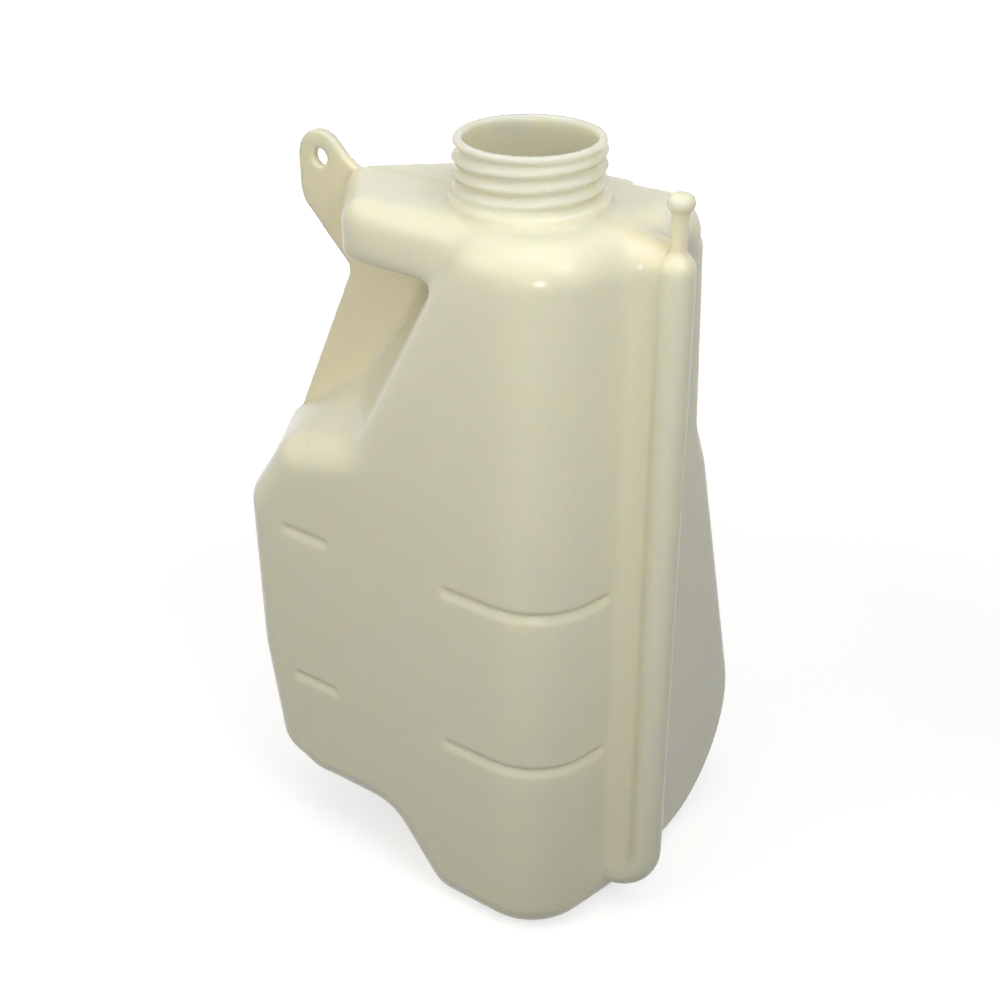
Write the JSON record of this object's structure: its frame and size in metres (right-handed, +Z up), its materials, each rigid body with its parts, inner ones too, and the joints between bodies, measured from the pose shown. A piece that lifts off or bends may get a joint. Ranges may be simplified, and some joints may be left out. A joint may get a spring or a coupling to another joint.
{
  "type": "coolant expansion tank",
  "caption": "Hollow blow-moulded coolant reservoir with a threaded filler neck, a riser tube with a hose nipple, a pinched web with a fixing tab, and recessed level marks.",
  "frame": {"origin": "on the filler neck's axis, in the plane of the foot's underside", "axes": "+Z up along the neck, +X along the mould's parting plane from the tab to the riser tube, +Y from the front face to the belly"},
  "size_m": [0.2013, 0.1456, 0.3295],
  "materials": {
    "natural_plastic": "satin"
  },
  "bodies": {
    "root": {"tank_body": "natural_plastic"}
  },
  "joints": []
}
